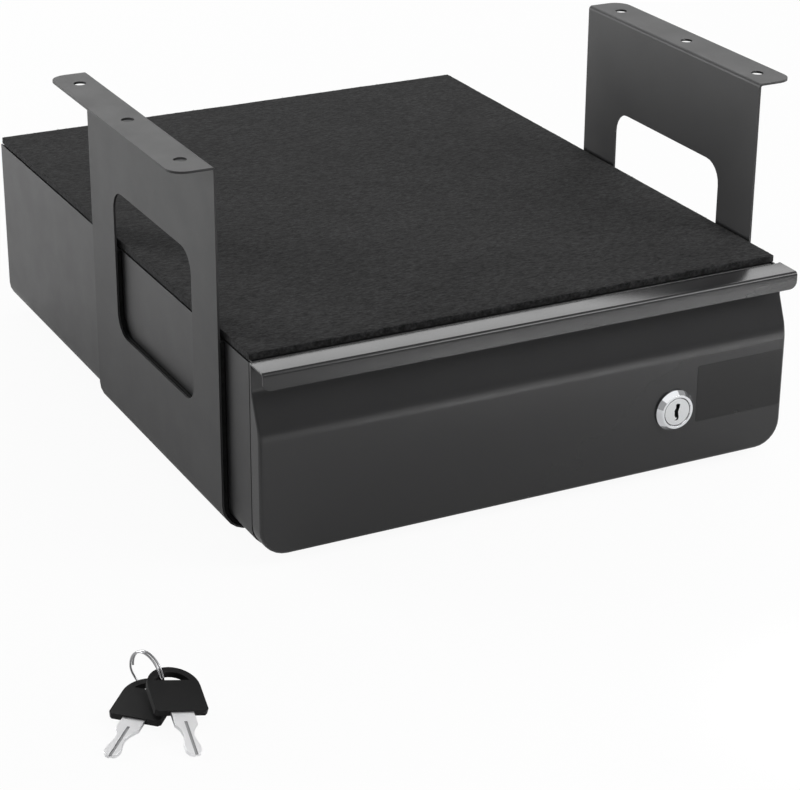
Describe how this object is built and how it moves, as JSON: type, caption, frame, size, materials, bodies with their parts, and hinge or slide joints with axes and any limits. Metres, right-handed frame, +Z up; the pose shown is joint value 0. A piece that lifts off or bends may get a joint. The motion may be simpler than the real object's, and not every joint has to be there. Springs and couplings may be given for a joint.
{
  "type": "under desk drawer safe",
  "caption": "Lockable steel drawer box that hangs under a desk on two bent brackets, with a felt-covered shelf on top, a full-width handle lip, a cam lock and keys.",
  "frame": {"origin": "in the plane of the desk's underside, midway between the two brackets, at their middle screw holes", "axes": "+X to the right seen from the front, +Y from the drawer front to the back, +Z up"},
  "size_m": [0.4522, 0.518, 0.194],
  "materials": {
    "black_steel": "satin black powder coat on sheet steel",
    "black_felt": "pressed felt with a cut edge",
    "liner_felt": "thin black felt strip",
    "zinc_steel": "bright zinc plate",
    "chrome": "polished chrome plate",
    "key_steel": "nickel-plated, milled",
    "key_plastic": "moulded black plastic",
    "label_film": "satin black sticker, blank"
  },
  "bodies": {
    "housing": {"lower_shell": "black_steel", "shelf_plate": "black_steel", "back_panel": "black_steel", "felt_mat": "black_felt", "lock_catch": "zinc_steel", "left_bracket": "black_steel", "left_bracket_liner": "liner_felt", "left_bracket_bolt_1": "zinc_steel", "left_bracket_nut_1": "zinc_steel", "left_bracket_bolt_2": "zinc_steel", "left_bracket_nut_2": "zinc_steel", "left_slide_channel": "zinc_steel", "right_bracket": "black_steel", "right_bracket_liner": "liner_felt", "right_bracket_bolt_1": "zinc_steel", "right_bracket_nut_1": "zinc_steel", "right_bracket_bolt_2": "zinc_steel", "right_bracket_nut_2": "zinc_steel", "right_slide_channel": "zinc_steel"},
    "drawer": {"left_slide_rail": "zinc_steel", "left_rail_screw_1": "zinc_steel", "left_rail_screw_2": "zinc_steel", "right_slide_rail": "zinc_steel", "right_rail_screw_1": "zinc_steel", "right_rail_screw_2": "zinc_steel", "drawer_tray": "black_steel", "drawer_front": "black_steel", "front_nut_1": "zinc_steel", "front_nut_2": "zinc_steel", "front_nut_3": "zinc_steel", "front_nut_4": "zinc_steel", "blank_label": "label_film", "lock_body": "chrome", "lock_washer": "zinc_steel", "lock_nut": "zinc_steel"},
    "left_cage": {"left_ball_cage": "zinc_steel"},
    "right_cage": {"right_ball_cage": "zinc_steel"},
    "lock_core": {"lock_plug": "key_steel", "lock_cam": "zinc_steel", "cam_screw": "zinc_steel"},
    "ring": {"key_ring": "key_steel"},
    "key_1": {"key_1_bow": "key_plastic", "key_1_blade": "key_steel"},
    "key_2": {"key_2_bow": "key_plastic", "key_2_blade": "key_steel"}
  },
  "joints": [
    {"name": "drawer_slide", "type": "slide", "parent": "housing", "child": "drawer", "axis": [0, -1, 0], "range_m": [0, 0.25]},
    {"name": "left_cage_slide", "type": "slide", "parent": "housing", "child": "left_cage", "axis": [0, -1, 0], "range_m": [0, 0.125]},
    {"name": "right_cage_slide", "type": "slide", "parent": "housing", "child": "right_cage", "axis": [0, -1, 0], "range_m": [0, 0.125]},
    {"name": "lock_turn", "type": "hinge", "parent": "drawer", "child": "lock_core", "pos_m": [0.0828, -0.12, -0.1542], "axis": [0, -1, 0], "range_deg": [0, 90]},
    {"name": "keys_lift", "type": "slide", "parent": "housing", "child": "ring", "axis": [0, 0, 1], "range_m": [0, 0.1]},
    {"name": "key_1_swing", "type": "hinge", "parent": "ring", "child": "key_1", "pos_m": [-0.24, -0.219, -0.1858], "axis": [0, 0, 1], "range_deg": [-20, 10]},
    {"name": "key_2_swing", "type": "hinge", "parent": "ring", "child": "key_2", "pos_m": [-0.24, -0.219, -0.1858], "axis": [0, 0, 1], "range_deg": [-5, 15]}
  ],
  "couplings": [
    {"joint": "left_cage_slide", "follows": "drawer_slide", "ratio": 0.5},
    {"joint": "right_cage_slide", "follows": "drawer_slide", "ratio": 0.5}
  ]
}
